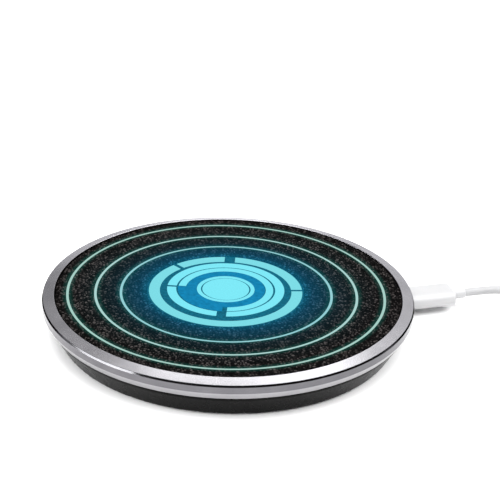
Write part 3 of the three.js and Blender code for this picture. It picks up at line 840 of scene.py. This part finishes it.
def make_band(name, inner, outer, start_gap, end_gap):
    """Part of a flat ring between two gaps with parallel sides."""
    section = eased(ring_section(inner, outer, window_low, window_high, mm(0.02), mm(0.06)), 2)
    sweep = (end_gap[0] - start_gap[0]) % 360
    start_direction = math.radians(start_gap[0] + EMBLEM_TURN)
    end_direction = start_direction + math.radians(sweep)
    count = round(sweep / BAND_STEP)
    on_edge = name.startswith("outer")
    centre = EMBLEM_CENTRE if on_edge else CORE_CENTRE
    rings = []
    for i in range(count + 1):
        ring = []
        for radius, height in section:
            start = start_direction + math.asin(start_gap[1] / radius)
            end = end_direction - math.asin(end_gap[1] / radius)
            ring.append(polar(centre, radius, start + (end - start) * i / count, height))
        rings.append(ring)
    glow = "arc_glow" if on_edge else "disc_glow"
    obj = to_object(skin(bmesh.new(), rings), f"glow_{name}", [glow])
    show(obj, "pad", "light_window", f"emblem_{name}")


def make_field():
    """Blue ring that is wider where the inner arc leaves room."""
    low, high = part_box("emblem_field")
    inner = mm(9.45)
    narrow = mm(12.75)
    wide = mm(15.5)
    wide_steps = 48
    narrow_steps = 132
    jump = 0.03                              # degrees in which the edge steps from wide to narrow
    start = GAP_LEFT[0] + EMBLEM_TURN
    end = GAP_FRONT[0] + EMBLEM_TURN
    rest = 360 - (end - start) - 2 * jump
    edge = [(start + (end - start) * i / wide_steps, wide) for i in range(wide_steps + 1)]
    edge += [(end + jump + rest * i / narrow_steps, narrow) for i in range(narrow_steps + 1)]
    rings = []
    for degrees, outer in edge:
        angle = math.radians(degrees)
        corners = [(inner, low.z), (inner, high.z), (outer, high.z), (outer, low.z)]
        rings.append([polar(CORE_CENTRE, radius, angle, height) for radius, height in corners])
    obj = to_object(skin(bmesh.new(), rings, closed=True), "glow_field", ["blue_glow"])
    show(obj, "pad", "blue_window", "emblem_field")


def make_carrier():
    """Teal disc under the emblem's windows."""
    middle_face = mm(2)
    radius = (panel_high.x - panel_low.x) / 2
    outline = [
        (middle_face, panel_low.z),
        (radius, panel_low.z),
        (radius, panel_high.z),
        (middle_face, panel_high.z),
    ]
    panel = lathe("emblem_carrier", outline, "panel_glow", centre=EMBLEM_CENTRE)
    show(panel, "pad", "emblem_panel", "emblem_panel")


def make_centre_disc():
    middle_face = mm(1)
    radius = (window_high.x - window_low.x) / 2
    corners = [
        (middle_face, window_low.z),
        (radius, window_low.z, mm(0.03)),
        (radius, window_high.z, mm(0.08)),
        (middle_face, window_high.z),
    ]
    disc = lathe("glow_centre_disc", eased(corners), "disc_glow", centre=CORE_CENTRE, sides=CORE_SIDES)
    show(disc, "pad", "light_window", "emblem_centre_disc")


def make_centre_ring():
    low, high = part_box("emblem_centre_ring")
    outer = (high.x - low.x) / 2
    outline = eased(ring_section(mm(8.05), outer, low, high, mm(0.02), mm(0.06)), 2)
    ring = lathe(
        "glow_centre_ring", outline, "disc_glow", closed=True, centre=CORE_CENTRE, sides=CORE_SIDES
    )
    show(ring, "pad", "light_window", "emblem_centre_ring")


def make_emblem():
    make_carrier()
    make_centre_disc()
    make_centre_ring()
    make_field()
    for name, band in BANDS.items():
        make_band(name, *band)


make_leather()
make_light_rings()
make_emblem()

# ------------------------------------------------------------------ plugs and cable pieces


def soft_block(name, low, high, corner, ease, material, steps=4):
    """Block along Y between two corners, with a rounded section and eased ends."""
    width = high.x - low.x
    height = high.z - low.z
    centre = (middle(low, high).x, middle(low, high).z)
    sharpening = 0.6                         # how fast the section's corners get smaller at the ends
    rings = []
    for end, direction in ((low.y, 1), (high.y, -1)):
        stations = []
        for step in range(steps + 1):
            angle = TURN / 4 * step / steps
            inset = ease * (1 - math.sin(angle))
            radius = corner - inset * sharpening
            y = end + direction * ease * (1 - math.cos(angle))
            stations.append(rounded_ring(width - 2 * inset, height - 2 * inset, radius, y, centre))
        rings += stations[::direction]
    return to_object(skin(bmesh.new(), rings), name, [material])


def turned_along_y(name, outline, x, z, material, sides=48):
    """Solid of revolution about a line along Y, from (radius, y) points."""
    rings = []
    for radius, y in outline:
        ring = []
        for i in range(sides):
            angle = TURN * i / sides
            ring.append(Vector((x + radius * math.cos(angle), y, z + radius * math.sin(angle))))
        rings.append(ring)
    return to_object(skin(bmesh.new(), rings), name, [material])


def hollow_shell(name, low, high, wall, corner, material):
    """Thin tube of rounded section along Y, open at both ends, with the edge at its low end eased."""
    width = high.x - low.x
    height = high.z - low.z
    centre = (middle(low, high).x, middle(low, high).z)
    lip = wall * 0.4
    stations = [
        (0, low.y + lip),
        (lip, low.y),
        (wall - lip / 2, low.y),
        (wall, low.y + lip),
        (wall, high.y),
        (0, high.y),
    ]
    rings = []
    for inset, y in stations:
        rings.append(rounded_ring(width - 2 * inset, height - 2 * inset, corner - inset, y, centre, 6))
    return to_object(skin(bmesh.new(), rings, closed=True), name, [material])


def make_usb_c_plug():
    grip = soft_block("plug_grip", plug_low, plug_high, mm(2.35), mm(0.55), "white_plastic")
    show(grip, "cable", "white_plastic", "plug_body")
    wide = (relief_high.x - relief_low.x) / 2
    near = relief_low.y
    far = relief_high.y
    outline = [
        (wide - mm(0.1), near),
        (wide, near + mm(0.1)),
        (mm(1.78), far - mm(0.35)),
        (mm(1.7), far - mm(0.1)),
        (mm(1.55), far),
    ]
    relief = turned_along_y("plug_collar", outline, 0, PORT_HEIGHT, "white_plastic")
    show(relief, "cable", "white_plastic", "strain_relief")
    low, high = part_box("plug_shell")
    shell = hollow_shell("plug_metal_shell", low, high, mm(0.2), mm(1.19), "steel")
    show(shell, "cable", "steel", "plug_shell")


def make_end_relief():
    """Strain relief of the far plug, with ribs that get narrower towards the cable."""
    low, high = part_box("usb_a_strain_relief")
    centre = middle(low, high)
    length = high.y - low.y
    wide = mm(2.6)
    taper = mm(0.8)                          # fall of the ribs' radius over the whole length
    rib_count = 4
    first_rib = 0.12                         # as shares of the length
    rib_spacing = 0.2
    outline = [(wide, low.y), (wide - mm(0.05), low.y + mm(0.4))]
    for i in range(rib_count):
        share = first_rib + rib_spacing * i
        start = low.y + length * share
        radius = wide - taper * share
        neck = radius - mm(0.3)
        outline += [
            (radius, start),
            (radius, start + mm(0.75)),
            (neck, start + mm(0.85)),
            (neck, start + mm(1.3)),
        ]
    outline += [(mm(1.8), high.y - mm(0.5)), (mm(1.6), high.y)]
    relief = turned_along_y("end_plug_relief", outline, centre.x, centre.z, "white_plastic")
    show(relief, "cable", "white_plastic", "usb_a_strain_relief")


def make_end_shell():
    """Metal shell of the far plug, with two windows in each of its wide faces."""
    low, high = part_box("usb_a_plug_shell")
    shell = hollow_shell("end_plug_shell", low, high, mm(0.3), mm(0.6), "steel")
    centre = middle(low, high)
    size = Vector((mm(2.2), mm(2.4), mm(1)))
    windows = []
    for side in (-1, 1):
        for up in (-1, 1):
            at = Vector((centre.x + side * mm(2.9), low.y + mm(6.2), centre.z + up * mm(2.1)))
            near = at - size / 2
            far = at + size / 2
            windows.append(soft_block("window_cutter", near, far, mm(0.2), mm(0.01), "steel", 1))
    cut(shell, windows)
    show(shell, "cable", "steel", "usb_a_plug_shell")


CONTACT_WIDTH = mm(1)
# Where each gold contact lies across the tongue, and its length.
CONTACTS = [(mm(-3.5), mm(8)), (mm(-1), mm(7)), (mm(1), mm(7)), (mm(3.5), mm(8))]


def make_contacts():
    low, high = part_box("usb_a_plug_tongue")
    front = low.y + mm(0.5)
    for i, (across, length) in enumerate(CONTACTS):
        x = middle(low, high).x + across
        near = Vector((x - CONTACT_WIDTH / 2, front, high.z - mm(0.05)))
        far = Vector((x + CONTACT_WIDTH / 2, front + length, high.z + mm(0.06)))
        contact = soft_block(f"end_plug_contact_{i + 1}", near, far, mm(0.04), mm(0.03), "gold", 2)
        show(contact, "cable", "steel")


def make_usb_a_plug():
    low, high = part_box("usb_a_plug_body")
    grip = soft_block("end_plug_grip", low, high, mm(2.4), mm(0.8), "white_plastic")
    show(grip, "cable", "white_plastic", "usb_a_plug_body")
    make_end_relief()
    make_end_shell()
    make_contacts()


def make_tie():
    """Strap closed round the winding's section, with its outer edges bevelled."""
    low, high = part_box("cable_tie")
    inner = mm(6.79)
    outer = mm(22.2)
    width = mm(6)
    thick = mm(0.15)
    centre = ((inner + outer) / 2, middle(low, high).z)
    loop = rounded_ring(outer - inner + thick, high.z - low.z - thick, mm(1.1), 0, centre)
    # (share of half the width, share of the thickness) round the strap's own section
    section = ((-1, -0.5), (-1, 0.35), (-0.96, 0.5), (0.96, 0.5), (1, 0.35), (1, -0.5))
    turn = Matrix.Rotation(math.radians(140), 4, "Z")
    move = Matrix.Translation((WINDING_CENTRE.x, WINDING_CENTRE.y, 0)) @ turn
    rings = []
    for i, point in enumerate(loop):
        ahead = loop[(i + 1) % len(loop)] - loop[i - 1]
        out = Vector((ahead.z, 0, -ahead.x)).normalized()
        ring = []
        for side, offset in section:
            place = point + Vector((0, side * width / 2, 0)) + out * offset * thick
            ring.append(move @ place)
        rings.append(ring)
    obj = to_object(skin(bmesh.new(), rings, closed=True), "winding_strap", ["strap"])
    show(obj, "cable", "strap", "cable_tie")


make_usb_c_plug()
make_usb_a_plug()
make_tie()

# ------------------------------------------------------------------ CAD nodes that stay

SLOT_MATERIALS = {
    "leather": "leather", "light_window": "disc_glow", "blue_window": "blue_glow",
    "emblem_panel": "panel_glow", "rim_metal": "rim_band_painted_shade",
}


def paint_cad_nodes():
    slots = {part["node"]: part["material_slot"] for part in frame["record"]["subparts"]}
    for name, node in frame["nodes"].items():
        slot = slots[name]
        material = MATERIALS[SLOT_MATERIALS.get(slot, slot)]
        if not node.material_slots:
            node.data.materials.append(material)
        for holder in node.material_slots:
            holder.material = material


paint_cad_nodes()

# ------------------------------------------------------------------ floor and light


def make_floor():
    reach = 20
    mesh = bpy.data.meshes.new("floor")
    corners = [(-reach, -reach, 0), (reach, -reach, 0), (reach, reach, 0), (-reach, reach, 0)]
    mesh.from_pydata(corners, [], [(0, 1, 2, 3)])
    floor = bpy.data.objects.new("floor", mesh)
    bpy.context.scene.collection.objects.link(floor)
    material, _, shader = blank("floor_paper", Roughness=0.9, Specular_IOR_Level=0.0)
    shader.inputs["Base Color"].default_value = grey(0.95)
    mesh.materials.append(material)


def softbox(name, place, target, width, height, radiance):
    """Soft rectangular light that the camera doesn't see."""
    light = bpy.data.lights.new(name, "AREA")
    light.shape = "RECTANGLE"
    light.size = width
    light.size_y = height
    light.energy = radiance * math.pi * width * height
    obj = bpy.data.objects.new(name, light)
    bpy.context.scene.collection.objects.link(obj)
    obj.location = place
    obj.rotation_mode = "QUATERNION"
    obj.rotation_quaternion = (Vector(target) - Vector(place)).to_track_quat("-Z", "Y")
    obj.visible_camera = False


def around(azimuth, elevation, distance):
    """Place at this azimuth from the pad, clockwise from straight behind it in the main view."""
    turn = VIEW_AZIMUTH + math.pi / 2 - math.radians(azimuth)
    level = Vector((math.cos(turn), math.sin(turn), 0))
    rise = math.radians(elevation)
    return (level * math.cos(rise) + Vector((0, 0, math.sin(rise)))) * distance


def make_world():
    world = bpy.data.worlds.new("studio")
    bpy.context.scene.world = world
    world.use_nodes = True
    shade = world.node_tree.nodes["Background"]
    shade.inputs["Color"].default_value = (0.98, 0.98, 1.0, 1)
    shade.inputs["Strength"].default_value = 0.30


make_world()
make_floor()
softbox("top_light", around(180, 77, 1.33), (0, 0, 0), 1.6, 1.6, 4.2)
softbox("back_light", around(4, 51, 1.5), (0, 0, 0), 0.75, 0.46, 2.0)
softbox("low_back_light", around(17, 30, 1.5), (0, 0, 0), 0.85, 0.7, 0.36)
softbox("horizon_light", around(0, 9, 1.5), (0, 0, 0), 0.9, 0.34, 0.64)
softbox("right_light", around(78, 42, 0.9), (0, 0, 0), 0.5, 0.45, 6.3)
softbox("left_light", around(-98, 9.5, 0.6), (0, 0, 0.02), 0.7, 0.14, 28.0)
softbox("front_right_light", around(130, 45, 1.0), (0, 0.04, 0), 0.5, 0.5, 3.4)

bpy.context.scene.view_settings.view_transform = "Standard"
bpy.context.scene.view_settings.look = "None"
